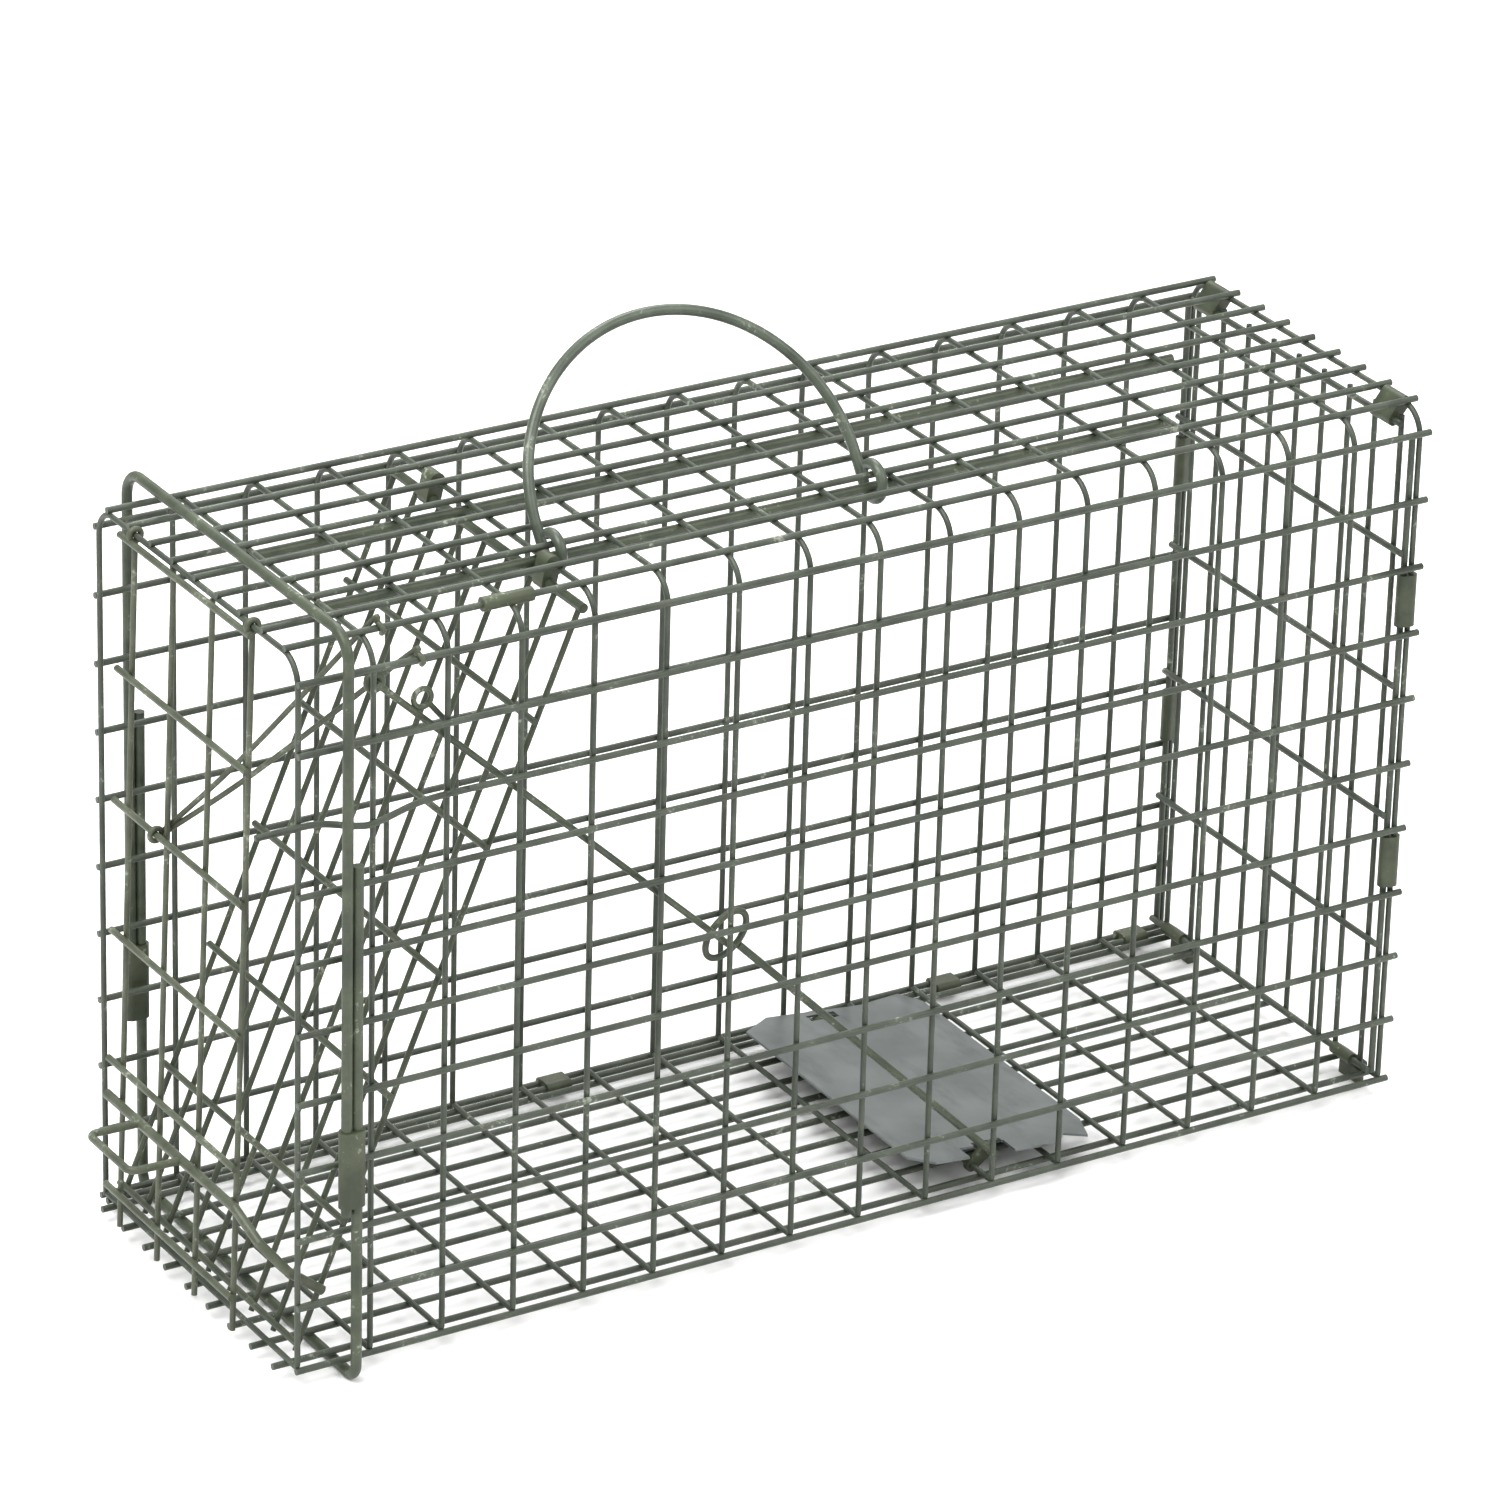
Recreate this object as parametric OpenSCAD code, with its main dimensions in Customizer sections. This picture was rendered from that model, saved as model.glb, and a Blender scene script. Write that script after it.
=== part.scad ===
// Live catch trap: a welded wire cage with a sloping drop door, a hanging front gate,
// a treadle on the floor that works a trip rod, and a carrying handle on the roof.
// It stands on z = 0. +X runs from the door to the closed end, and the origin is the
// centre of the whole trap's footprint. "Near" is -Y and "far" is +Y.

/* [Cage] */
// Length between the first and the last cross wires
cage_len = 406.4; // [330:0.1:500]
// Width between the cross wires of the two side walls
cage_w = 129.2; // [116:0.1:160]
// Height between the cross wires of the floor and the roof
cage_h = 239.3; // [205:0.1:290]
// Bend radius of the two long edges of the roof
roof_bend_r = 9; // [6:0.5:12]
// Bend radius of the near long edge of the floor
floor_bend_r = 1.5; // [1.2:0.1:2.5]

/* [Mesh] */
// Wanted spacing of the cross wires
cross_step = 25.4; // [20:0.1:32]
// Wanted spacing of the long wires on the side walls
side_step = 23.4; // [19:0.1:29]
// Wanted spacing of the long wires on the roof and the floor
long_step = 14.4; // [12:0.1:18]
// Diameter of the cross wires
cross_d = 1.9; // [1.6:0.05:2.3]
// Diameter of the long wires
long_d = 2.2; // [1.8:0.05:2.6]
// How far a welded wire sinks into the wire it crosses
weld = 0.35; // [0.25:0.05:0.45]

/* [Closed end] */
// Spacing of the end panel's level bars
panel_step = 46.8; // [38:0.1:56]
// Length of the sleeves that clip the end panel to the walls
clip_len = 18; // [14:0.5:20]

/* [Door] */
// Distance of the door's hinge bar behind the front of the cage
door_hinge_x = 100.2; // [90:0.1:115]
// Slope of the closed door from upright
door_slope = 22.8; // [18:0.1:26]
// Spacing of the door's cross bars along its slope
door_step = 42; // [35:0.5:50]
// Diameter of the hinge bar, the roof rods and the locking bar
bar_d = 3.2; // [2.7:0.1:3.6]

/* [Gate] */
// How far the hanging gate leans forward
gate_lean = 1.8; // [1:0.1:3]
// Spacing of the gate's upright wires
gate_step = 25.4; // [21:0.1:27]
// Spacing of the gate's level wires
gate_row = 44.7; // [38:0.1:46]
// Reach of the lift tab in front of the gate
tab_reach = 18; // [12:0.5:24]

/* [Hoop] */
// Diameter of the hoop wire
hoop_d = 3.5; // [3:0.1:3.6]
// Gap between the hoop and the long wires at the sides
hoop_gap = 2.35; // [2.1:0.05:4]
// Gap between the hoop and the roof
hoop_lift = 3; // [1:0.5:6]
// Gap between the hoop's lower bar and the long wires of the floor
hoop_drop = 0.4; // [0.4:0.1:2]
// Distance of the hoop behind the front of the cage
hoop_x = 13.2; // [10:0.1:18]

/* [Treadle] */
// Length of the treadle plate along the cage
plate_len = 69; // [58:0.5:83]
// Thickness of the treadle plate
plate_t = 0.8; // [0.6:0.1:1.2]
// Upward tilt of the treadle's front edge at rest
plate_tilt = 4; // [2:0.5:6]
// Diameter of the treadle's axle and arm
axle_d = 2.6; // [2.2:0.1:3]
// Height of the axle above the floor's cross wires
axle_rise = 4.3; // [3.6:0.1:5.5]

/* [Handle] */
// Diameter of the handle wire
handle_d = 3.6; // [3:0.1:4]
// Length of the handle's straight legs below its arch
handle_leg = 9.9; // [6:0.1:20]
// Lean of the handle to the far side at rest
handle_lean = 35.2; // [10:0.1:40]

/* [Hidden] */
$fn = 24;

paint = "#5c6350";
galvanised = "#8d9293";
run = 0.08;          // running clearance of an eye on its wire
grip = 0.02;         // how far a crimped sleeve bites into a wire
free_gap = 0.4;      // least gap between pieces that move past each other
tooth = 5;           // length of the floor wires' stubs in front of the cage
tail = 3;            // length of the long wires' stubs behind the cage

// Wire counts and true spacings
cross_gaps = round(cage_len / cross_step);
cross_pitch = cage_len / cross_gaps;
edge_gap = 7;        // from the outermost long wire of the roof to the wall
long_gaps = 2 * round((cage_w / 2 - edge_gap) / long_step);
long_pitch = (cage_w - 2 * edge_gap) / long_gaps;
weld_gap = (cross_d + long_d) / 2 - weld;
half_w = cage_w / 2;
floor_z = hoop_d + hoop_drop + long_d / 2 + weld_gap;
roof_z = floor_z + cage_h;
bend_z = roof_z - roof_bend_r;
bend_y = half_w - roof_bend_r;
side_z0 = floor_z - weld_gap;
side_top = bend_z + 1.9;
side_gaps = round((side_top - side_z0) / side_step);
side_pitch = (side_top - side_z0) / side_gaps;
bent_row = side_gaps - 2;
seam_y = half_w - 2.6;

// The trap's reach in front of and behind the cage sets where the origin lies
tab_d = 2.6;
bar_off = (cross_d + bar_d) / 2 - 0.1;
bar_drop = cage_h - 46.1;
tab_front = bar_off + tab_reach;
front_reach = sin(gate_lean) * (bar_drop + 3) + cos(gate_lean) * tab_front + tab_d / 2;
x_front = -(cage_len + tail - front_reach) / 2;
x_back = x_front + cage_len;
function cross_x(i) = x_front + i * cross_pitch;
function long_y(k) = (k - long_gaps / 2) * long_pitch;
function side_z(j) = side_z0 + j * side_pitch;

// Rods under the roof
rod_z = roof_z - (cross_d + bar_d) / 2 + 0.1;
handle_k = 2;
roof_k = 5;

// Door
hinge_pos = [x_front + door_hinge_x, 0, rod_z - bar_d - free_gap];
door_reach = (hinge_pos[2] - floor_z - cross_d / 2 - 1) / cos(door_slope);
door_half_w = half_w - 4.8;
hanger_x = cross_x(round(door_hinge_x / cross_pitch));

// Gate
gate_pos = [x_front, 0, roof_z];
gate_y0 = -36;
gate_drop0 = 2.2;
gate_drop1 = cage_h - 1.3;
gate_rows = floor((gate_drop1 - gate_drop0 - 1.5) / gate_row);

// Hoop
hoop_y = half_w + weld_gap + long_d / 2 + hoop_gap + hoop_d / 2;
hoop_top = roof_z + weld_gap + long_d / 2 + hoop_lift + hoop_d / 2;
hoop_r = 9;
hoop_low_r = long_d / 2 + hoop_gap + hoop_d / 2;

// Treadle and trip gear
axle_pos = [x_back - 146.2, 0, floor_z + axle_rise];
bracket_x = cross_x(cross_gaps - 6);
bracket_y = [-52, 50];
arm_y = -56.3;
trip_y = -(half_w - cross_d / 2 - 0.65 - axle_d / 2);
pivot_pos = [cross_x(1) + 1.9, trip_y, roof_z - 13.8];
arm_len = 148;
loop_r = 6.6;
loop_d = 2.2;
arm_dir = [-1, 0, 1] / sqrt(2);
loop_pos = [axle_pos[0], arm_y, axle_pos[2]] + arm_dir * arm_len;
trip_end = [loop_pos[0], trip_y, loop_pos[2]] - arm_dir * 1.2 - [1, 0, 1] * 1.4;

// Handle
ring_r = (roof_z + weld_gap + long_d / 2 - rod_z + bar_d / 2) / 2 + free_gap + handle_d / 2;
handle_pos = [0, long_y(handle_k), (roof_z + weld_gap + long_d / 2 + rod_z - bar_d / 2) / 2];
handle_feet = [cross_x(4) + cross_pitch * 0.22, cross_x(8) + cross_pitch * 0.75];

function unit(v) = v / norm(v);
function turn(a, b, c) = acos(unit(b - a) * unit(c - b));
function trim(a, b, c, r) = r * tan(turn(a, b, c) / 2);

// A straight wire between two points
module rod(p, q, d) {
    v = q - p;
    translate(p)
    rotate([0, acos(v[2] / norm(v)), atan2(v[1], v[0])])
    cylinder(d = d, h = norm(v));
}

// The round bend of a wire that runs from a to c by way of b
module bend(a, b, c, r, d) {
    u = unit(b - a);
    v = unit(c - b);
    angle = turn(a, b, c);
    start = b - u * trim(a, b, c, r);
    centre = b + unit(v - u) * r / cos(angle / 2);
    x = unit(start - centre);
    z = cross(x, u);
    multmatrix([[x[0], u[0], z[0], centre[0]],
                [x[1], u[1], z[1], centre[1]],
                [x[2], u[2], z[2], centre[2]]])
    rotate_extrude(angle = angle)
    translate([r, 0])
    circle(d = d);
}

// A wire bent at each of its inner points
module wire(p, r, d) {
    last = len(p) - 1;
    for (i = [0 : last - 1]) {
        u = unit(p[i + 1] - p[i]);
        from = i == 0 ? p[i] : p[i] + u * trim(p[i - 1], p[i], p[i + 1], r);
        to = i == last - 1 ? p[i + 1] : p[i + 1] - u * trim(p[i], p[i + 1], p[i + 2], r);
        rod(from, to, d);
    }
    for (i = [1 : last - 1])
        bend(p[i - 1], p[i], p[i + 1], r, d);
}

// A wire with tight bends: each inner point is a ball a little wider than the wire
module tight_wire(p, d) {
    for (i = [0 : len(p) - 2])
        rod(p[i], p[i + 1], d);
    for (i = [1 : len(p) - 2])
        translate(p[i])
        sphere(d = d * 1.04);
}

// An eye or an open hook of wire round the Y axis
module eye(r, d, angle = 360) {
    rotate([90, 0, 0])
    rotate_extrude(angle = angle)
    translate([r, 0])
    circle(d = d);
}

// A crimped sleeve along Z, with a bore for each wire that it holds
module sleeve(a, b, len, wall, bores) {
    r = max(bores) / 2 + wall;
    span = norm(b - a);
    translate([a[0], a[1], -len / 2])
    rotate([0, 0, atan2(b[1] - a[1], b[0] - a[0])])
    difference() {
        linear_extrude(len)
        union() {
            circle(r = r);
            translate([span, 0]) circle(r = r);
            translate([0, -r]) square([span, 2 * r]);
        }
        translate([0, 0, -1]) cylinder(d = bores[0] - 2 * grip, h = len + 2);
        translate([span, 0, -1]) cylinder(d = bores[1] - 2 * grip, h = len + 2);
    }
}

// A wall: upright cross wires with long wires on their outer face
module wall_mesh(side, bottom, rows) {
    for (i = [0 : cross_gaps])
        rod([cross_x(i), side * half_w, bottom], [cross_x(i), side * half_w, bend_z], cross_d);
    y = side * (half_w + weld_gap);
    for (j = rows)
        rod([x_front - cross_d / 2, y, side_z(j)], [x_back + tail, y, side_z(j)], long_d);
}

module floor_mesh() color(paint) {
    corner_y = -half_w + floor_bend_r - (floor_bend_r + weld_gap) * sin(45);
    corner_z = floor_z + floor_bend_r - (floor_bend_r + weld_gap) * sin(45);
    for (i = [0 : cross_gaps])
        wire([[cross_x(i), half_w - cross_d / 2 - 0.3, floor_z],
              [cross_x(i), -half_w, floor_z],
              [cross_x(i), -half_w, floor_z + floor_bend_r]], floor_bend_r - 0.01, cross_d);
    for (k = [0 : long_gaps])
        rod([x_front - tooth, long_y(k), floor_z - weld_gap],
            [x_back + tail / 2, long_y(k), floor_z - weld_gap], long_d);
    rod([x_front - cross_d / 2, corner_y, corner_z], [x_back + tail, corner_y, corner_z], long_d);
    rod([x_front - cross_d / 2, seam_y, side_z0], [x_back + tail, seam_y, side_z0], long_d);
}

module near_wall_mesh() color(paint)
    wall_mesh(-1, floor_z + floor_bend_r, [for (j = [1 : side_gaps - 1]) if (j != bent_row) j]);

// The one long wire of the near wall that runs free beside the hoop
module bowed_wire() color(paint) {
    y = -half_w - weld_gap;
    rod([x_front - cross_d / 2, y, side_z(bent_row)], [x_back + tail, y, side_z(bent_row)], long_d);
}

module far_wall_mesh() color(paint)
    wall_mesh(1, floor_z - cross_d / 2, [0 : side_gaps - 1]);

module roof_mesh() color(paint) {
    for (i = [0 : cross_gaps])
        wire([[cross_x(i), -half_w, bend_z],
              [cross_x(i), -half_w, roof_z],
              [cross_x(i), half_w, roof_z],
              [cross_x(i), half_w, bend_z]], roof_bend_r - 0.01, cross_d);
    out_r = roof_bend_r + weld_gap;
    for (k = [0 : long_gaps]) {
        past = max(0, abs(long_y(k)) - bend_y);
        z = bend_z + sqrt(out_r * out_r - past * past);
        rod([x_front - cross_d / 2, long_y(k), z], [x_back + tail, long_y(k), z], long_d);
    }
    rise = side_top - bend_z;
    for (side = [-1, 1]) {
        y = side * (bend_y + sqrt(out_r * out_r - rise * rise));
        rod([x_front - cross_d / 2, y, side_top], [x_back + tail, y, side_top], long_d);
    }
}

// The closed end: a flat panel of upright wires and level bars, just inside the last cross wires
panel_in = 2.4;
panel_x = x_back - panel_in;
panel_y = half_w - 0.7;
panel_z = floor_z + 3.2;
panel_top = roof_z - 5.4;
module back_panel() color(paint) {
    bar_x = panel_x - weld_gap;
    upright_z0 = panel_z - 1;
    upright_z1 = roof_z - 3.4;
    for (y = [-panel_y, panel_y])
        rod([panel_x, y, upright_z0], [panel_x, y, bend_z], long_d);
    for (k = [0 : long_gaps])
        rod([panel_x, long_y(k), upright_z0], [panel_x, long_y(k), upright_z1], cross_d);
    rows = floor((bend_z - panel_z) / panel_step);
    for (n = [0 : rows])
        rod([bar_x, -panel_y - 0.5, panel_z + n * panel_step],
            [bar_x, panel_y + 0.5, panel_z + n * panel_step], long_d);
    rod([bar_x, -bend_y - 4, panel_top], [bar_x, bend_y + 4, panel_top], long_d);
}

// Sleeves that hold the panel's edge wires to the last uprights of the walls
module panel_clips() color(paint)
    for (side = [-1, 1], cell = [0.35, 0.75]) {
        row = floor(cell * side_gaps) + 0.5;
        translate([0, 0, side_z(row)])
        sleeve([x_back, side * half_w], [panel_x, side * panel_y], clip_len, 1, [cross_d, long_d]);
    }

// The sleeves at the panel's four corners each fill the gap between two uprights
corner_clip_len = long_pitch * 0.75;

// Sleeves that hold the panel's top bar under the roof's last cross wire
module roof_clips() color(paint)
    for (side = [-1, 1])
        translate([0, side * long_y(long_gaps - 0.5), 0])
        rotate([90, 0, 0])
        sleeve([x_back, roof_z], [panel_x - weld_gap, panel_top], corner_clip_len, 1, [cross_d, long_d]);

// Sleeves at the bottom corners, which the closed end of the trap stands on
module foot_clips() color(paint)
    for (side = [-1, 1])
        translate([0, side * long_y(long_gaps - 0.5) + corner_clip_len / 2, 0])
        rotate([90, 0, 0])
        linear_extrude(corner_clip_len)
        union() {
            strap([x_back, floor_z], [panel_x - weld_gap, panel_z], cross_d / 2 - grip, long_d / 2 - grip, 1);
            translate([x_back - 1.6, 0])
            square([2.4, floor_z - cross_d / 2 - 0.3]);
        }

module seam_clips() color(paint)
    for (at = [0.4, 0.77, 0.95])
        translate([cross_x(floor(at * cross_gaps) + 0.5), 0, 0])
        rotate([90, 0, 90])
        sleeve([seam_y, side_z0], [half_w + weld_gap, side_z0], 9, 1, [long_d, long_d]);

module roof_rod() color(paint)
    rod([cross_x(1) - 2, long_y(roof_k), rod_z], [cross_x(14) + 8, long_y(roof_k), rod_z], bar_d);

module handle_rod() color(paint)
    rod([cross_x(1) - 2, long_y(handle_k), rod_z], [cross_x(13) + 3, long_y(handle_k), rod_z], bar_d);

// A crimped sleeve on the outermost near wire of the roof
module roof_sleeve() color(paint) {
    z = roof_z + weld_gap;
    rod([x_front + 66, long_y(0), z], [x_front + 66 + cross_pitch - 8, long_y(0), z], 4.6);
}

module door_mesh() color(paint)
    translate(hinge_pos)
    rotate([0, door_slope, 0]) {
        for (k = [0 : long_gaps])
            rod([0, long_y(k), -bar_d / 2 + 0.2], [0, long_y(k), -door_reach], cross_d);
        rows = floor((door_reach - 8) / door_step);
        for (n = [0 : rows]) {
            z = 3 - door_reach + n * door_step;
            rod([-weld_gap, -door_half_w, z], [-weld_gap, door_half_w, z], long_d);
        }
    }

module door_hinge_bar() color(paint)
    rod(hinge_pos - [0, door_half_w, 0], hinge_pos + [0, door_half_w, 0], bar_d);

// Straps that hang the hinge bar from a roof cross wire and let it turn
module door_hinge_clips() color(paint)
    for (side = [-1, 1])
        translate([0, side * long_pitch * 2.5 + 3, 0])
        rotate([90, 0, 0])
        linear_extrude(6)
        strap([hanger_x, roof_z], [hinge_pos[0], hinge_pos[2]], cross_d / 2 - grip, bar_d / 2 + run, 1);

// The outline of a flat strap with a bore at each end
module strap(a, b, bore_a, bore_b, wall) {
    r = max(bore_a, bore_b) + wall;
    span = norm(b - a);
    translate(a)
    rotate(atan2(b[1] - a[1], b[0] - a[0]))
    difference() {
        union() {
            circle(r = r);
            translate([span, 0]) circle(r = r);
            translate([0, -r]) square([span, 2 * r]);
        }
        circle(r = bore_a);
        translate([span, 0]) circle(r = bore_b);
    }
}

// Puts a piece of the gate, drawn hanging straight down from its hinge, in its place
module on_gate()
    translate(gate_pos)
    rotate([0, gate_lean, 0])
    children();

module gate_mesh() color(paint)
    on_gate() {
        eye_r = cross_d + run;
        for (n = [0 : 3]) {
            y = gate_y0 + n * gate_step;
            outer = n == 0 || n == 3;
            rod([0, y, outer ? -eye_r : 0.9 - gate_drop0], [0, y, -gate_drop1], cross_d);
            if (outer) translate([0, y, 0]) eye(eye_r, cross_d);
        }
        for (m = [0 : gate_rows]) {
            z = -gate_drop0 - m * gate_row;
            rod([-weld_gap, gate_y0 - 2, z], [-weld_gap, gate_y0 + 3 * gate_step + 7, z], long_d);
        }
    }

module locking_bar() color(paint)
    on_gate()
    tight_wire([[-bar_off, gate_y0 + 3 * gate_step + 6, -bar_drop],
                [-bar_off, gate_y0 - 4, -bar_drop],
                [-0.6, -half_w + 12, -bar_drop - 6.5],
                [6, -half_w + 4.6, -bar_drop - 14.5],
                [17, -half_w + 2.8, -bar_drop - 22.4]], bar_d);

module lift_tab() color(paint) {
    near_y = -4.5;
    far_y = 23.5;
    bend_r = 3;
    root_x = -bar_off - bar_d / 2 + 0.3;
    on_gate()
    wire([[root_x, far_y, -bar_drop], [-tab_front, far_y, -bar_drop],
          [-tab_front, near_y, -bar_drop], [root_x, near_y, -bar_drop]], bend_r, tab_d);
}

// Two spring arms from the gate to the near top edge of the cage
spring_d = 1.8;
spring_y = 19;
module gate_spring() color(paint) {
    drop = gate_drop0 + 2 * gate_row;
    ring = long_d / 2 + run + spring_d / 2;
    apex = gate_pos + [-weld_gap * cos(gate_lean) - drop * sin(gate_lean), spring_y,
                       weld_gap * sin(gate_lean) - drop * cos(gate_lean)];
    grip_r = (long_d + spring_d) / 2 - grip;
    upper = [cross_x(1) + 5, long_y(0), bend_z + sqrt(pow(roof_bend_r + weld_gap, 2) - 4)];
    lower = [cross_x(1) + 14, -(bend_y + sqrt(pow(roof_bend_r + weld_gap, 2) - 3.61)), side_top];
    translate(apex) eye(ring, spring_d);
    rod(apex + [ring, 0, 0.6], upper - [0, -grip_r, 0.5], spring_d);
    rod(apex + [ring, -0.4, -0.6], lower - [0, -grip_r, 0.5], spring_d);
    for (end = [upper, lower])
        translate(end)
        rotate([90, 0, 90])
        rotate_extrude(angle = 220)
        translate([grip_r, 0])
        circle(d = spring_d);
}

// The hoop round the cage: an upper and a lower bow whose legs lie side by side
hoop_low = 60;
hoop_high = 178;
hoop_pitch = hoop_d + 0.1;
far_shift = 8;
module bow(x, near_z, far_z, bar_z, r) color(paint)
    wire([[x, -hoop_y, near_z], [x, -hoop_y, bar_z], [x, hoop_y, bar_z], [x, hoop_y, far_z]], r, hoop_d);

module hoop_upper()
    bow(x_front + hoop_x, hoop_low, hoop_low + far_shift, hoop_top, hoop_r);

module hoop_lower()
    bow(x_front + hoop_x + hoop_pitch, hoop_high, hoop_high - far_shift, hoop_d / 2, hoop_low_r);

module hoop_sleeves() color(paint)
    for (side = [-1, 1])
        translate([0, 0, hoop_low + 16])
        sleeve([x_front + hoop_x, side * hoop_y], [x_front + hoop_x + hoop_pitch, side * hoop_y],
               26, 0.8, [hoop_d, hoop_d]);

// The treadle: a thin plate pressed over its axle, with windows for the brackets
module treadle_plate() color(galvanised) {
    near_y = -60;
    far_y = 56;
    front = -plate_len / 2 + 4;
    back = plate_len / 2 + 4;
    ridge = axle_d / 2 + plate_t;
    mid = axle_d / 2;
    translate(axle_pos)
    rotate([0, plate_tilt, 0])
    difference() {
        union() {
            translate([0, 0, mid - 0.1])
            linear_extrude(plate_t)
            polygon([[front, near_y + 9], [front + 7, near_y + 2], [back - 16, near_y],
                     [back - 11, near_y + 5], [back - 4, near_y + 1], [back, near_y + 12],
                     [back, far_y - 8], [back - 5, far_y], [back - 22, far_y - 3],
                     [front + 12, far_y], [front, far_y - 7]]);
            translate([0, far_y - 4, 0])
            rotate([90, 0, 0])
            cylinder(r = ridge, h = far_y - near_y - 14);
        }
        translate([0, far_y + 1, 0])
        rotate([90, 0, 0])
        cylinder(r = mid - grip, h = far_y - near_y + 2);
        translate([-plate_len, near_y - 1, -2 * ridge - 0.1])
        cube([2 * plate_len, far_y - near_y + 2, 2 * ridge]);
        for (y = bracket_y)
            translate([-5.5, y - 2, -5])
            cube([11, 4, 12]);
        translate([-11, near_y - 1, -5])
        cube([17, 9, 12]);
    }
}

// One wire is the treadle's axle and its arm
module treadle_rod() color(paint)
    tight_wire([[axle_pos[0], bracket_y[1] + 4, axle_pos[2]],
                [axle_pos[0], arm_y, axle_pos[2]],
                loop_pos - arm_dir * (loop_r + 0.2)], axle_d);

// The loop at the arm's upper end, which carries the trip rod's pin
module treadle_loop() color(paint)
    translate(loop_pos)
    eye(loop_r, loop_d);

module axle_brackets() color(paint)
    for (y = bracket_y)
        translate([0, y + 1, 0])
        rotate([90, 0, 0])
        linear_extrude(2)
        strap([bracket_x, floor_z], [axle_pos[0], axle_pos[2]], cross_d / 2 - grip, axle_d / 2 + run, 0.8);

// The trip rod turns on the pivot and ends in a pin inside the treadle's loop
pivot_d = 2;
module trip_rod() color(paint) {
    eye_r = pivot_d / 2 + run + axle_d / 2;
    dir = unit(trip_end - pivot_pos);
    translate(pivot_pos) eye(eye_r, axle_d);
    tight_wire([pivot_pos + dir * eye_r, trip_end, trip_end + [0, arm_y - trip_y + 3.5, 0]], axle_d * 0.85);
}

module trip_pivot() color(paint) {
    rod([pivot_pos[0], -half_w - 0.3, pivot_pos[2]], [pivot_pos[0], trip_y + axle_d / 2 + 1.2, pivot_pos[2]], pivot_d);
    rod([pivot_pos[0], trip_y + axle_d / 2 + 0.4, pivot_pos[2]],
        [pivot_pos[0], trip_y + axle_d / 2 + 1.4, pivot_pos[2]], pivot_d + 2.4);
}

// The catch that holds the edge of the raised door
module catch_hook() color(paint) {
    dir = unit(trip_end - pivot_pos);
    up = [-dir[2], 0, dir[0]];
    wire_r = 0.9;
    eye_r = 3;
    centre = pivot_pos + dir * 18 + up * (axle_d * 0.425 + wire_r + eye_r - 0.3);
    translate(centre) eye(eye_r, 2 * wire_r);
    rod(centre + dir * eye_r, centre + dir * 14 - up * 1.5, 2 * wire_r);
}

// The carrying handle: one wire whose ends hook round the handle rod
module handle() color(paint)
    translate(handle_pos)
    rotate([-handle_lean, 0, 0]) {
        x0 = handle_feet[0];
        x1 = handle_feet[1];
        arch = (x1 - x0) / 2;
        for (x = handle_feet) {
            translate([x, 0, 0])
            rotate([90, 0, 90])
            rotate([0, 0, 85])
            rotate_extrude(angle = 275)
            translate([ring_r, 0])
            circle(d = handle_d);
            rod([x, ring_r, 0], [x, ring_r, handle_leg], handle_d);
        }
        translate([(x0 + x1) / 2, ring_r, handle_leg])
        rotate([90, 0, 0])
        rotate_extrude(angle = 180)
        translate([arch, 0])
        circle(d = handle_d);
    }

floor_mesh();
near_wall_mesh();
bowed_wire();
far_wall_mesh();
roof_mesh();
back_panel();
panel_clips();
roof_clips();
foot_clips();
seam_clips();
roof_rod();
handle_rod();
roof_sleeve();
door_mesh();
door_hinge_bar();
door_hinge_clips();
gate_mesh();
locking_bar();
lift_tab();
gate_spring();
hoop_upper();
hoop_lower();
hoop_sleeves();
treadle_plate();
treadle_rod();
treadle_loop();
axle_brackets();
trip_rod();
trip_pivot();
catch_hook();
handle();
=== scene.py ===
"""A live catch trap: a painted wire cage with a drop door, a gate, a treadle and a handle.

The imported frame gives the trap's real pieces. This file gives each one its finish, and draws the
pieces whose true form is a freely bent wire.
"""

import logging
import math
from dataclasses import dataclass
from enum import Enum

import bpy
from mathutils import Matrix, Vector

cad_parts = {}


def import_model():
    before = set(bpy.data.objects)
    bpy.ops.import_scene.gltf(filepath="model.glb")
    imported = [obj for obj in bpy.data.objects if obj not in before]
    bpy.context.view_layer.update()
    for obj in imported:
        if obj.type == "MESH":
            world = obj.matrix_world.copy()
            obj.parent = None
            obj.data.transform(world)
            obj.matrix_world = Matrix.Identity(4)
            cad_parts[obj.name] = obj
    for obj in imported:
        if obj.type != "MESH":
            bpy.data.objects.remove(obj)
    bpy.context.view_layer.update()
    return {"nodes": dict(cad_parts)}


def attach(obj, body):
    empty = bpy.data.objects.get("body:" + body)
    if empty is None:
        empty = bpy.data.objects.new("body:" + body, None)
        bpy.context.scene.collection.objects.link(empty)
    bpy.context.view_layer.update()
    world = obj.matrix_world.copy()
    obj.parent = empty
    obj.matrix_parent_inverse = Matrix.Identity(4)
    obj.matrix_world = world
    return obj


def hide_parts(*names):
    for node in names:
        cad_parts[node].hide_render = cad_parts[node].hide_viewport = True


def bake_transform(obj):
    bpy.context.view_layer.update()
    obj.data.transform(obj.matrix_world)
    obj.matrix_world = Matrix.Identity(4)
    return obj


MM = 0.001
LOG = logging.getLogger("live_trap")


# ---------------------------------------------------------------- colour and node helpers


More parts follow.
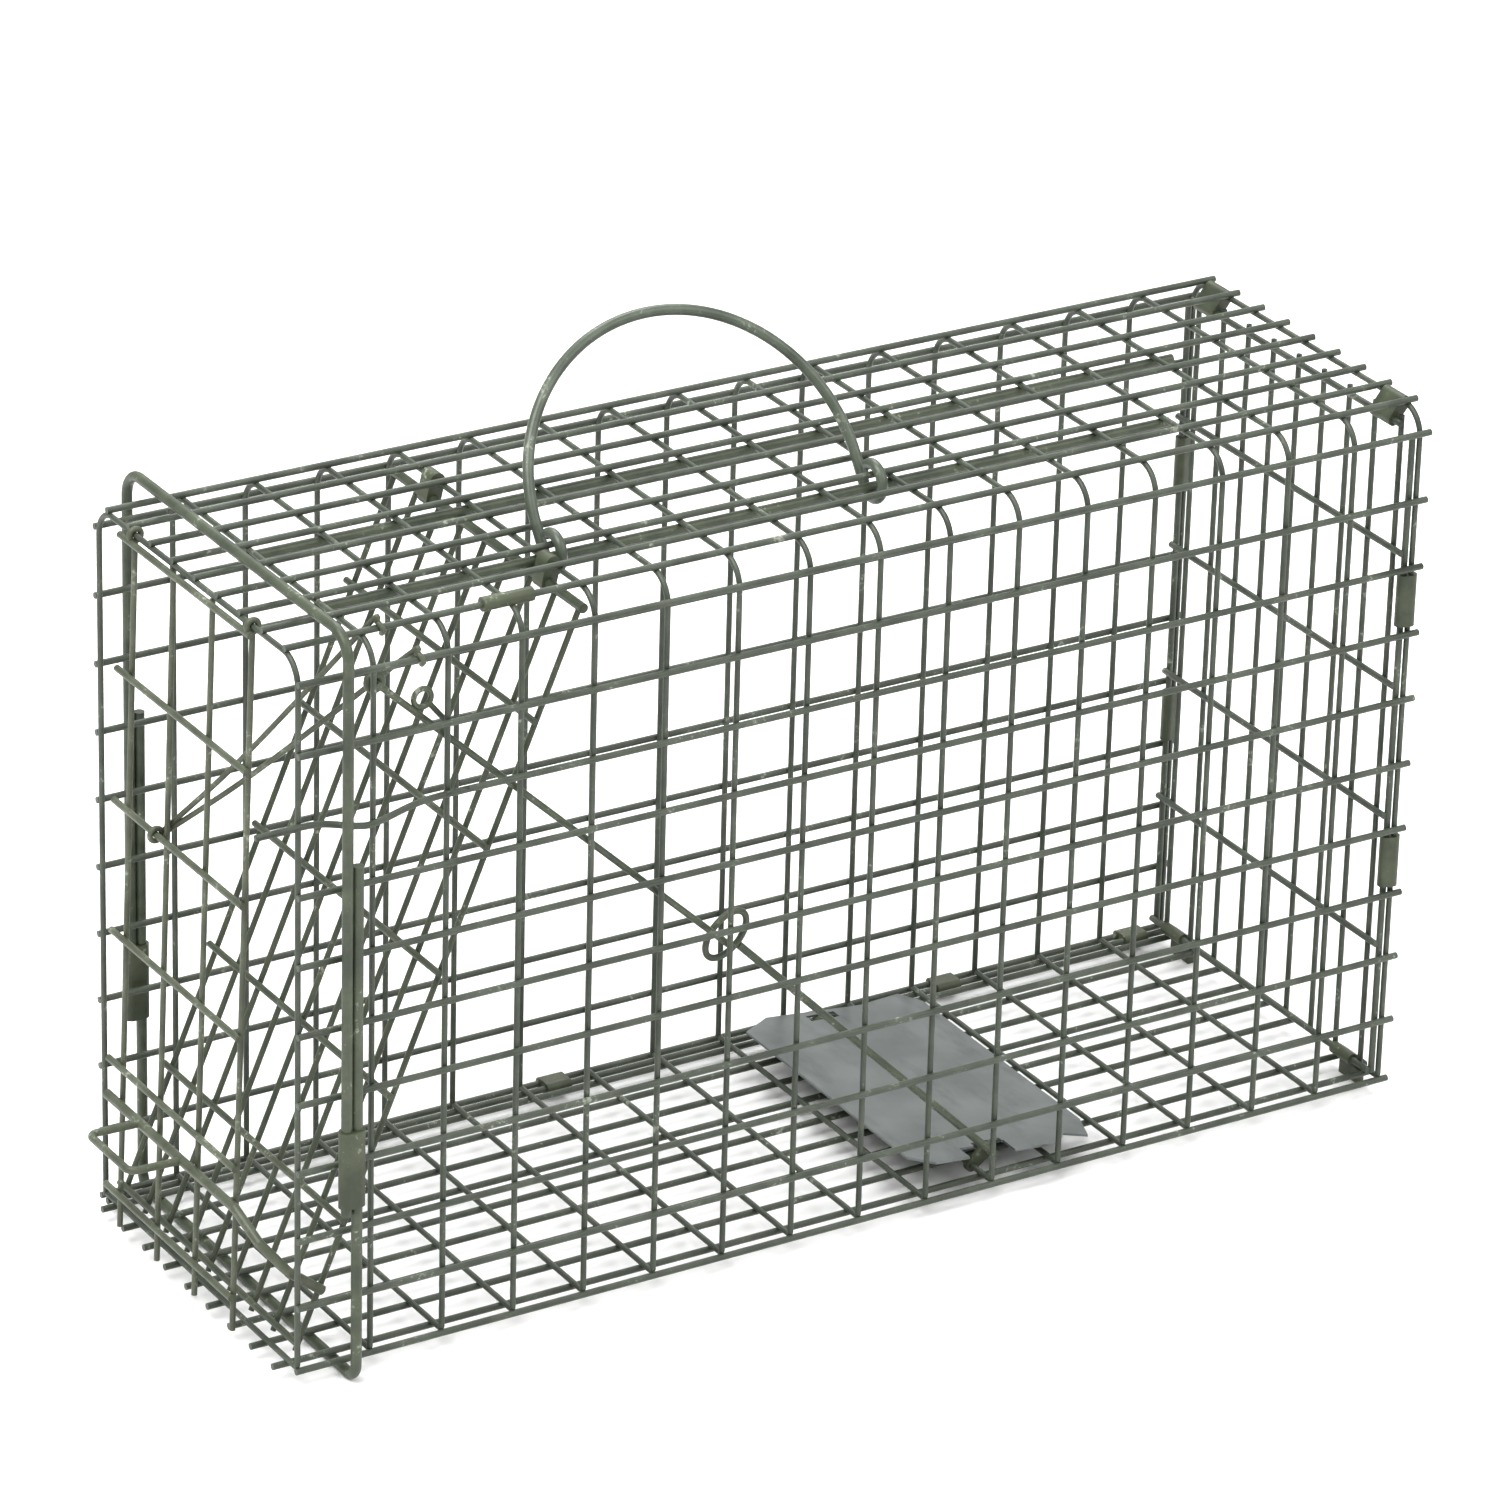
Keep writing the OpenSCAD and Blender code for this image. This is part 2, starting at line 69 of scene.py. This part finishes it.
def linear(hex_colour: str) -> tuple[float, float, float, float]:
    """Turns an sRGB hex colour to linear light.

    Args:
        hex_colour: Six hex digits, with or without a leading hash.

    Returns:
        Linear red, green, blue and an alpha of 1.
    """
    digits = hex_colour.lstrip("#")
    channels = [int(digits[i : i + 2], 16) / 255 for i in (0, 2, 4)]
    lit = [c / 12.92 if c <= 0.04045 else ((c + 0.055) / 1.055) ** 2.4 for c in channels]
    return (lit[0], lit[1], lit[2], 1.0)


def add_node(
    tree: bpy.types.NodeTree,
    kind: str,
    inputs: dict[str, object] | None = None,
    settings: dict[str, object] | None = None,
) -> bpy.types.Node:
    """Adds one shader node with its settings, values and links.

    Args:
        tree: The node tree that it goes in.
        kind: The node's Blender type name.
        inputs: Input name or number to a value, or to an output socket that links there.
        settings: Node property to its value.

    Returns:
        The new node.
    """
    node = tree.nodes.new(kind)
    for name, value in (settings or {}).items():
        setattr(node, name, value)
    for name, value in (inputs or {}).items():
        if isinstance(value, bpy.types.NodeSocket):
            tree.links.new(value, node.inputs[name])
        else:
            node.inputs[name].default_value = value
    return node


def two_tone(
    tree: bpy.types.NodeTree,
    factor: bpy.types.NodeSocket,
    low: tuple[float, float, float, float],
    high: tuple[float, float, float, float],
    start: float,
    end: float,
) -> bpy.types.NodeSocket:
    """Blends two colours along a factor.

    Args:
        tree: The node tree.
        factor: The socket that drives the blend.
        low: Colour below start.
        high: Colour above end.
        start: Factor at which the blend begins.
        end: Factor at which it is complete.

    Returns:
        The colour output.
    """
    ramp = add_node(tree, "ShaderNodeValToRGB", {"Fac": factor})
    ramp.color_ramp.elements[0].position = start
    ramp.color_ramp.elements[0].color = low
    ramp.color_ramp.elements[1].position = end
    ramp.color_ramp.elements[1].color = high
    return ramp.outputs["Color"]


# ---------------------------------------------------------------- finishes


@dataclass(frozen=True)
class SprayEnamel:
    """Olive-green spray enamel over welded steel wire.

    A thin satin film, uneven in tone, and worn pale on its high spots.
    """

    name: str
    base: str
    dusty: str
    worn: str = "#858a7b"
    worn_from: float = 0.66
    worn_edge: tuple[float, float] = (-0.06, 0.02)
    roughness: float = 0.42
    roughness_swing: tuple[float, float] = (-0.1, 0.14)
    mottle_mm: float = 14.0
    mottle_span: tuple[float, float] = (0.38, 0.66)
    speckle_mm: float = 1.6
    speckle_relief_mm: float = 0.12
    speckle_strength: float = 0.25
    coat: float = 0.08
    coat_roughness: float = 0.3
    gloss: float = 0.32

    def build(self) -> bpy.types.Material:
        """Builds the material.

        Returns:
            The finished material.
        """
        material = bpy.data.materials.new(self.name)
        material.use_nodes = True
        tree = material.node_tree
        shader = tree.nodes["Principled BSDF"]
        place = add_node(tree, "ShaderNodeTexCoord").outputs["Object"]
        mottle = add_node(
            tree,
            "ShaderNodeTexNoise",
            {"Vector": place, "Scale": 1 / (self.mottle_mm * MM), "Detail": 4.0, "Roughness": 0.6},
        )
        speckle = add_node(
            tree,
            "ShaderNodeTexNoise",
            {
                "Vector": place,
                "Scale": 1 / (self.speckle_mm * MM),
                "Detail": 3.0,
                "Roughness": 0.65,
            },
        )
        film = two_tone(
            tree,
            mottle.outputs["Fac"],
            linear(self.base),
            linear(self.dusty),
            *self.mottle_span,
        )
        # Worn grains show where both the broad mottle and the fine speckle are high.
        wear = add_node(
            tree,
            "ShaderNodeMath",
            {0: mottle.outputs["Fac"], 1: speckle.outputs["Fac"]},
            {"operation": "ADD"},
        )
        half = add_node(
            tree,
            "ShaderNodeMath",
            {0: wear.outputs[0], 1: 0.5},
            {"operation": "MULTIPLY"},
        )
        mask = add_node(
            tree,
            "ShaderNodeMapRange",
            {
                "Value": half.outputs[0],
                "From Min": self.worn_from + self.worn_edge[0],
                "From Max": self.worn_from + self.worn_edge[1],
            },
        )
        # A Mix node keeps its colour sockets at 6 and 7, after the float and vector ones.
        colour = add_node(
            tree,
            "ShaderNodeMix",
            {0: mask.outputs["Result"], 6: film, 7: linear(self.worn)},
            {"data_type": "RGBA"},
        )
        tree.links.new(colour.outputs[2], shader.inputs["Base Color"])
        rough = add_node(
            tree,
            "ShaderNodeMapRange",
            {
                "Value": speckle.outputs["Fac"],
                "To Min": self.roughness + self.roughness_swing[0],
                "To Max": self.roughness + self.roughness_swing[1],
            },
        )
        tree.links.new(rough.outputs["Result"], shader.inputs["Roughness"])
        shader.inputs["Specular IOR Level"].default_value = self.gloss
        shader.inputs["Coat Weight"].default_value = self.coat
        shader.inputs["Coat Roughness"].default_value = self.coat_roughness
        relief = add_node(
            tree,
            "ShaderNodeBump",
            {
                "Height": speckle.outputs["Fac"],
                "Strength": self.speckle_strength,
                "Distance": self.speckle_relief_mm * MM,
            },
        )
        tree.links.new(relief.outputs["Normal"], shader.inputs["Normal"])
        return material


@dataclass(frozen=True)
class GalvanisedSheet:
    """Hot-dip galvanised sheet, sheared and pressed.

    Dull mid-grey zinc with soft streaks. Their dark tone is painted reflection of the wires over
    it, and the same streaks vary its roughness and relief.
    """

    name: str = "galvanised_sheet"
    pale: str = "#747978"
    deep: str = "#636867"
    # Painted reflection: the dark tone that the streaks lay on the zinc stands in for the wires
    # mirrored in it.
    painted_wire_reflection: str = "#4a4f4d"
    bloom_mm: float = 16.0
    bloom_span: tuple[float, float] = (0.3, 0.7)
    streak_mm: float = 9.0
    streak_stretch: tuple[float, float, float] = (1.0, 0.35, 1.0)
    painted_wire_reflection_span: tuple[float, float] = (0.52, 0.78)
    painted_wire_reflection_most: float = 0.75
    roughness_span: tuple[float, float] = (0.24, 0.46)
    metallic: float = 0.55
    relief_mm: float = 0.3
    relief_strength: float = 0.3

    def build(self) -> bpy.types.Material:
        """Builds the material.

        Returns:
            The finished material.
        """
        material = bpy.data.materials.new(self.name)
        material.use_nodes = True
        tree = material.node_tree
        shader = tree.nodes["Principled BSDF"]
        place = add_node(tree, "ShaderNodeTexCoord").outputs["Object"]
        bloom = add_node(
            tree,
            "ShaderNodeTexNoise",
            {"Vector": place, "Scale": 1 / (self.bloom_mm * MM), "Detail": 2.0, "Roughness": 0.4},
        )
        along = add_node(tree, "ShaderNodeMapping", {"Vector": place, "Scale": self.streak_stretch})
        streak = add_node(
            tree,
            "ShaderNodeTexNoise",
            {
                "Vector": along.outputs["Vector"],
                "Scale": 1 / (self.streak_mm * MM),
                "Detail": 5.0,
                "Roughness": 0.62,
            },
        )
        zinc = two_tone(
            tree,
            bloom.outputs["Fac"],
            linear(self.deep),
            linear(self.pale),
            *self.bloom_span,
        )
        # Where the streaks are high, the zinc darkens towards the dark tone: painted reflection of
        # the wires over the plate.
        mask = add_node(
            tree,
            "ShaderNodeMapRange",
            {
                "Value": streak.outputs["Fac"],
                "From Min": self.painted_wire_reflection_span[0],
                "From Max": self.painted_wire_reflection_span[1],
                "To Max": self.painted_wire_reflection_most,
            },
        )
        colour = add_node(
            tree,
            "ShaderNodeMix",
            {0: mask.outputs["Result"], 6: zinc, 7: linear(self.painted_wire_reflection)},
            {"data_type": "RGBA"},
        )
        tree.links.new(colour.outputs[2], shader.inputs["Base Color"])
        rough = add_node(
            tree,
            "ShaderNodeMapRange",
            {
                "Value": streak.outputs["Fac"],
                "To Min": self.roughness_span[0],
                "To Max": self.roughness_span[1],
            },
        )
        tree.links.new(rough.outputs["Result"], shader.inputs["Roughness"])
        shader.inputs["Metallic"].default_value = self.metallic
        relief = add_node(
            tree,
            "ShaderNodeBump",
            {
                "Height": streak.outputs["Fac"],
                "Strength": self.relief_strength,
                "Distance": self.relief_mm * MM,
            },
        )
        tree.links.new(relief.outputs["Normal"], shader.inputs["Normal"])
        return material


class Finish(Enum):
    """The finishes that the trap's pieces are given."""

    # Thin enamel on drawn mesh wire: a cool grey-green with pale specks at the welds and crowns.
    CROSS_WIRE = SprayEnamel("enamelled_mesh_wire", base="#30362c", dusty="#444a3f")
    # The door's wires lie in the shade of the cage: a warmer, darker olive.
    DOOR_WIRE = SprayEnamel("enamelled_door_wire", base="#2f3527", dusty="#424838")
    # The gate's paler film is painted light: a lit copy of the mesh wire's olive enamel. The gate
    # is handled most, so its film is also worn through more often.
    GATE_WIRE = SprayEnamel("enamelled_gate_wire", base="#3b4031", dusty="#525747", worn_from=0.64)
    # Heavier bar takes a smoother film: broad soft highlights along its length.
    BAR = SprayEnamel("enamelled_steel_bar", base="#32392c", dusty="#474e3d", roughness=0.4)
    # Sheet crimped round the wires: the dullest and darkest olive, with no clear highlight.
    CRIMPED = SprayEnamel(
        "enamelled_crimped_sheet", base="#2f3526", dusty="#434936", roughness=0.48
    )
    # The handle's wire is polished by hands: the clearest highlight of the painted pieces.
    HANDLE = SprayEnamel(
        "enamelled_handle_wire", base="#343b30", dusty="#4c5347", roughness=0.34, coat=0.2
    )
    # Bare zinc: the one grey, half-glossy surface, which mirrors the wires over it faintly; its
    # dark streaks add a painted reflection of them.
    ZINC = GalvanisedSheet()


class Palette:
    """Builds each finish once and hands it out."""

    def __init__(self) -> None:
        """Starts with no material built."""
        self._made: dict[Finish, bpy.types.Material] = {}

    def get(self, finish: Finish) -> bpy.types.Material:
        """Gives the material of a finish, and builds it at first use.

        Args:
            finish: The finish wanted.

        Returns:
            Its material.
        """
        if finish not in self._made:
            self._made[finish] = finish.value.build()
        return self._made[finish]

    def dress(self, piece: bpy.types.Object, finish: Finish) -> None:
        """Gives a piece one finish all over.

        Args:
            piece: The piece.
            finish: Its finish.
        """
        material = self.get(finish)
        if not piece.data.materials:
            piece.data.materials.append(material)
        for i in range(len(piece.data.materials)):
            piece.data.materials[i] = material


# ---------------------------------------------------------------- bent wire


@dataclass(frozen=True)
class WirePath:
    """One round wire that is bent freely through a few points, given in millimetres."""

    points: tuple[tuple[float, float, float], ...]
    diameter: float
    closed: bool = False
    steps: int = 8

    def curve(self) -> list[Vector]:
        """Runs a smooth curve through the points.

        Returns:
            Points along the wire's centre line, in metres.
        """
        knots = [Vector(p) * MM for p in self.points]
        count = len(knots)
        spans = count if self.closed else count - 1
        line = []
        for i in range(spans):
            if self.closed:
                before, here, there, after = (knots[(i + k) % count] for k in (-1, 0, 1, 2))
            else:
                before, after = knots[max(i - 1, 0)], knots[min(i + 2, count - 1)]
                here, there = knots[i], knots[i + 1]
            for n in range(self.steps):
                t = n / self.steps
                line.append(
                    0.5
                    * (
                        2 * here
                        + (there - before) * t
                        + (2 * before - 5 * here + 4 * there - after) * t**2
                        + (3 * here - before - 3 * there + after) * t**3
                    )
                )
        if not self.closed:
            line.append(knots[-1])
        return line


def ring_path(
    centre: Vector, across: Vector, along: Vector, diameter: float, count: int = 12
) -> WirePath:
    """Makes the path of a closed round or oval ring of wire.

    Args:
        centre: The ring's centre in millimetres.
        across: Half of one axis of the oval, as a vector.
        along: Half of the other axis.
        diameter: The wire's diameter.
        count: Points round the ring.

    Returns:
        The closed path.
    """
    turns = [math.tau * i / count for i in range(count)]
    return WirePath(
        tuple(tuple(centre + across * math.cos(t) + along * math.sin(t)) for t in turns),
        diameter,
        closed=True,
        steps=4,
    )


def draw_wires(name: str, paths: list[WirePath], sides: int = 12) -> bpy.types.Object:
    """Draws a piece of one or more round wires as a closed mesh.

    Args:
        name: The piece's name.
        paths: The wires.
        sides: Faces round each wire.

    Returns:
        The new piece, linked to the scene.
    """
    points: list[Vector] = []
    faces: list[tuple[int, ...]] = []
    for path in paths:
        line = path.curve()
        count = len(line)
        first = len(points)
        normal = None
        for i, spot in enumerate(line):
            ahead = line[(i + 1) % count] if path.closed or i < count - 1 else spot
            behind = line[i - 1] if path.closed or i > 0 else spot
            tangent = (ahead - behind).normalized()
            if normal is None:
                normal = tangent.orthogonal()
            else:
                normal = normal - tangent * normal.dot(tangent)
            normal.normalize()
            side = tangent.cross(normal)
            radius = path.diameter / 2 * MM
            for k in range(sides):
                turn = math.tau * k / sides
                points.append(spot + (normal * math.cos(turn) + side * math.sin(turn)) * radius)
        for i in range(count if path.closed else count - 1):
            a, b = first + i * sides, first + (i + 1) % count * sides
            faces += [
                (a + k, a + (k + 1) % sides, b + (k + 1) % sides, b + k) for k in range(sides)
            ]
        if not path.closed:
            last = first + (count - 1) * sides
            faces.append(tuple(first + k for k in reversed(range(sides))))
            faces.append(tuple(last + k for k in range(sides)))
    mesh = bpy.data.meshes.new(name)
    mesh.from_pydata(points, [], faces)
    mesh.polygons.foreach_set("use_smooth", [True] * len(mesh.polygons))
    mesh.update()
    piece = bpy.data.objects.new(name, mesh)
    bpy.context.scene.collection.objects.link(piece)
    LOG.info("drew %s", name)
    return piece


# ---------------------------------------------------------------- studio


def heading(azimuth: float, elevation: float) -> Vector:
    """Finds the direction from the trap to a viewpoint.

    Args:
        azimuth: Where the viewpoint stands, in degrees, as for a view.
        elevation: Its height in degrees.

    Returns:
        The unit vector towards it.
    """
    a, e = math.radians(azimuth), math.radians(elevation)
    return Vector((math.sin(a) * math.cos(e), -math.cos(a) * math.cos(e), math.sin(e)))


@dataclass(frozen=True)
class Lamp:
    """A soft square light that looks at the trap, with its distances in metres."""

    name: str
    azimuth: float
    elevation: float
    away: float
    side: float
    watts: float
    aim_height: float = 0.12

    def build(self) -> None:
        """Adds the light to the scene."""
        back = heading(self.azimuth, self.elevation)
        data = bpy.data.lights.new(self.name, "AREA")
        data.energy = self.watts
        data.size = self.side
        lamp = bpy.data.objects.new(self.name, data)
        lamp.location = Vector((0, 0, self.aim_height)) + back * self.away
        lamp.rotation_euler = back.to_track_quat("Z", "Y").to_euler()
        bpy.context.scene.collection.objects.link(lamp)


@dataclass
class Studio:
    """The pale floor, the soft lights and the camera."""

    target_mm: tuple[float, float, float] = (8.648, 2.510, 144.683)
    azimuth: float = -31.855
    elevation: float = 25.253
    roll: float = 1.592
    distance_mm: float = 2548.67
    lens_mm: float = 191.944
    sensor_mm: float = 36.0
    far_clip: float = 100.0
    lamps: tuple[Lamp, ...] = (
        Lamp("key", azimuth=-75, elevation=62, away=1.9, side=1.3, watts=46),
        Lamp("fill", azimuth=35, elevation=40, away=2.4, side=1.8, watts=26),
        Lamp("rim", azimuth=150, elevation=55, away=2.2, side=1.2, watts=30),
    )
    floor_half: float = 12.0
    floor_hex: str = "#f4f4f3"
    floor_roughness: float = 0.85
    world_hex: str = "#f2f3f3"
    world_strength: float = 0.9

    def place_camera(self) -> None:
        """Places the camera that the scene is seen from."""
        back = heading(self.azimuth, self.elevation)
        r = math.radians(self.roll)
        right = Vector((0, 0, 1)).cross(back).normalized()
        up = back.cross(right)
        x = math.cos(r) * right + math.sin(r) * up
        y = -math.sin(r) * right + math.cos(r) * up
        data = bpy.data.cameras.new("camera")
        data.lens = self.lens_mm
        data.sensor_width = self.sensor_mm
        data.clip_end = self.far_clip
        camera = bpy.data.objects.new("camera", data)
        spot = Vector(self.target_mm) * MM + back * self.distance_mm * MM
        camera.matrix_world = Matrix.Translation(spot) @ Matrix((x, y, back)).transposed().to_4x4()
        bpy.context.scene.collection.objects.link(camera)
        bpy.context.scene.camera = camera

    def light_world(self) -> None:
        """Sets the pale surroundings that light the trap from all round."""
        world = bpy.data.worlds.new("studio_world")
        world.use_nodes = True
        backdrop = world.node_tree.nodes["Background"]
        backdrop.inputs["Color"].default_value = linear(self.world_hex)
        backdrop.inputs["Strength"].default_value = self.world_strength
        bpy.context.scene.world = world
        bpy.context.scene.view_settings.view_transform = "Standard"

    def lay_floor(self) -> None:
        """Lays the pale floor that the trap stands on."""
        mesh = bpy.data.meshes.new("floor")
        h = self.floor_half
        mesh.from_pydata([(-h, -h, 0), (h, -h, 0), (h, h, 0), (-h, h, 0)], [], [(0, 1, 2, 3)])
        floor = bpy.data.objects.new("floor", mesh)
        bpy.context.scene.collection.objects.link(floor)
        # Uncoated paper, matt: it gives the eye a soft shadow and no reflection.
        material = bpy.data.materials.new("studio_paper")
        material.use_nodes = True
        shader = material.node_tree.nodes["Principled BSDF"]
        shader.inputs["Base Color"].default_value = linear(self.floor_hex)
        shader.inputs["Roughness"].default_value = self.floor_roughness
        mesh.materials.append(material)

    def build(self) -> None:
        """Builds the whole studio."""
        self.place_camera()
        for lamp in self.lamps:
            lamp.build()
        self.light_world()
        self.lay_floor()


# ---------------------------------------------------------------- the trap's sub-assemblies


@dataclass
class Cage:
    """The mesh cage with its closed end and everything clipped or welded to it."""

    mesh_nodes: tuple[str, ...] = (
        "floor_mesh",
        "near_wall_mesh",
        "bowed_wire",
        "far_wall_mesh",
        "roof_mesh",
        "back_panel",
    )
    rods: tuple[str, ...] = ("roof_rod", "handle_rod", "trip_pivot")
    crimps: tuple[str, ...] = (
        "panel_clips",
        "roof_clips",
        "foot_clips",
        "seam_clips",
        "roof_sleeve",
        "door_hinge_clips",
        "axle_brackets",
    )
    wire_d: float = 2.2
    bow_ends: tuple[float, float] = (-191.6, 218.6)
    bow_y: float = -66.3
    bow_z: float = 192.1
    # Places along the bowed wire, each with how far the wire hangs below its row there. The first
    # lies beyond the wire's near end, so the wire runs out past it and doubles back.
    bow_drops: tuple[tuple[float, float], ...] = (
        (-206.0, 0.0),
        (-186.0, 0.0),
        (-172.0, 3.6),
        (-165.0, 4.0),
        (-150.0, 0.6),
        (-134.0, 0.0),
        (-110.0, 0.0),
    )

    def dress(self, nodes: dict[str, bpy.types.Object], palette: Palette) -> None:
        """Gives the cage's pieces their finishes.

        Args:
            nodes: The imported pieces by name.
            palette: The finishes.
        """
        for name in self.mesh_nodes:
            palette.dress(nodes[name], Finish.CROSS_WIRE)
        for name in self.rods:
            palette.dress(nodes[name], Finish.BAR)
        for name in self.crimps:
            palette.dress(nodes[name], Finish.CRIMPED)

    def build(self, palette: Palette) -> None:
        """Draws the long wire of the near wall that is knocked down where the hoop passes.

        Args:
            palette: The finishes.
        """
        near, far = self.bow_ends
        row = ((near, 0.0), *self.bow_drops, (far, 0.0))
        knots = tuple((x, self.bow_y, self.bow_z - drop) for x, drop in row)
        wire = draw_wires("bowed_wall_wire", [WirePath(knots, self.wire_d)])
        palette.dress(wire, Finish.CROSS_WIRE)
        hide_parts("bowed_wire")
        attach(wire, "root")


@dataclass
class Door:
    """The sloping drop door and its hinge bar."""

    def dress(self, nodes: dict[str, bpy.types.Object], palette: Palette) -> None:
        """Gives the door its finishes.

        Args:
            nodes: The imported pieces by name.
            palette: The finishes.
        """
        palette.dress(nodes["door_mesh"], Finish.DOOR_WIRE)
        palette.dress(nodes["door_hinge_bar"], Finish.BAR)


@dataclass
class Gate:
    """The gate that hangs in front, with its locking bar, lift tab and spring arms."""

    spring_d: float = 1.8
    spring_ring: float = 2.1
    spring_apex: tuple[float, float, float] = (-195.33, 19.0, 154.5)
    spring_feet: tuple[tuple[float, float, float], tuple[float, float, float]] = (
        (-160.35, -57.6, 247.5),
        (-151.35, -66.13, 238.9),
    )
    # Each arm leaves the ring a little above or below its middle.
    spring_starts: tuple[float, float] = (0.48, -0.4)
    # The arms sag by this much, at these parts of their length and by these shares.
    spring_sag: tuple[float, float, float] = (1.2, 0.0, -1.4)
    spring_sag_at: tuple[tuple[float, float], ...] = ((0.33, 1.0), (0.7, 0.6))
    # The hook at each foot, as steps from the wire that it grips.
    spring_hook: tuple[tuple[float, float, float], ...] = (
        (-1.0, 2.0, 1.5),
        (0.0, 0.0, 2.0),
        (1.0, -2.0, 0.0),
        (1.5, 0.0, -2.0),
    )

    def dress(self, nodes: dict[str, bpy.types.Object], palette: Palette) -> None:
        """Gives the gate its finishes.

        Args:
            nodes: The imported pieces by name.
            palette: The finishes.
        """
        for name in ("gate_mesh", "locking_bar", "lift_tab"):
            palette.dress(nodes[name], Finish.GATE_WIRE)

    def build(self, palette: Palette) -> None:
        """Draws the two spring arms between the cage and the gate, in one fixed shape.

        Args:
            palette: The finishes.
        """
        apex, ring = Vector(self.spring_apex), self.spring_ring
        sag = Vector(self.spring_sag)
        paths = [ring_path(apex, Vector((ring, 0, 0)), Vector((0, 0, ring)), self.spring_d)]
        for foot, lift in zip(self.spring_feet, self.spring_starts, strict=True):
            hook = [Vector(foot) + Vector(step) for step in self.spring_hook]
            start = apex + Vector((ring, 0, lift))
            reach = hook[0] - start
            knots = [start]
            knots += [start + reach * part + sag * share for part, share in self.spring_sag_at]
            knots += hook
            paths.append(WirePath(tuple(tuple(knot) for knot in knots), self.spring_d))
        spring = draw_wires("gate_spring_arms", paths)
        palette.dress(spring, Finish.GATE_WIRE)
        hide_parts("gate_spring")
        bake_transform(spring)


@dataclass
class Hoop:
    """The hoop that slides along the cage."""

    def dress(self, nodes: dict[str, bpy.types.Object], palette: Palette) -> None:
        """Gives the hoop its finishes.

        Args:
            nodes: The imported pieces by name.
            palette: The finishes.
        """
        for name in ("hoop_upper", "hoop_lower"):
            palette.dress(nodes[name], Finish.BAR)
        palette.dress(nodes["hoop_sleeves"], Finish.CRIMPED)


@dataclass
class Treadle:
    """The treadle, its arm and the trip rod that it works."""

    loop_centre: tuple[float, float, float] = (-34.9, -56.3, 115.3)
    loop_half: tuple[float, float] = (8.8, 5.6)
    loop_slant: tuple[float, float, float] = (1.0, 0.0, 1.0)
    loop_rise: tuple[float, float, float] = (-1.0, 0.0, 1.0)
    loop_d: float = 2.2

    def dress(self, nodes: dict[str, bpy.types.Object], palette: Palette) -> None:
        """Gives the treadle and trip gear their finishes.

        Args:
            nodes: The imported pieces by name.
            palette: The finishes.
        """
        palette.dress(nodes["treadle_plate"], Finish.ZINC)
        for name in ("treadle_rod", "trip_rod", "catch_hook"):
            palette.dress(nodes[name], Finish.BAR)

    def build(self, palette: Palette) -> None:
        """Draws the flattened loop at the top of the treadle's arm.

        Args:
            palette: The finishes.
        """
        across = Vector(self.loop_slant).normalized() * self.loop_half[0]
        along = Vector(self.loop_rise).normalized() * self.loop_half[1]
        oval = ring_path(Vector(self.loop_centre), across, along, self.loop_d)
        loop = draw_wires("treadle_arm_loop", [oval])
        palette.dress(loop, Finish.BAR)
        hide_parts("treadle_loop")
        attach(loop, "treadle")


@dataclass
class Handle:
    """The carrying handle."""

    def dress(self, nodes: dict[str, bpy.types.Object], palette: Palette) -> None:
        """Gives the handle its finish.

        Args:
            nodes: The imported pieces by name.
            palette: The finishes.
        """
        palette.dress(nodes["handle"], Finish.HANDLE)


def main() -> None:
    """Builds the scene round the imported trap."""
    logging.basicConfig(level=logging.INFO, format="%(message)s")
    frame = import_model()
    Studio().build()
    palette = Palette()
    cage, gate, treadle = Cage(), Gate(), Treadle()
    for assembly in (cage, Door(), gate, Hoop(), treadle, Handle()):
        assembly.dress(frame["nodes"], palette)
        LOG.info("dressed %s", type(assembly).__name__)
    for assembly in (cage, gate, treadle):
        assembly.build(palette)


if __name__ == "__main__":
    main()
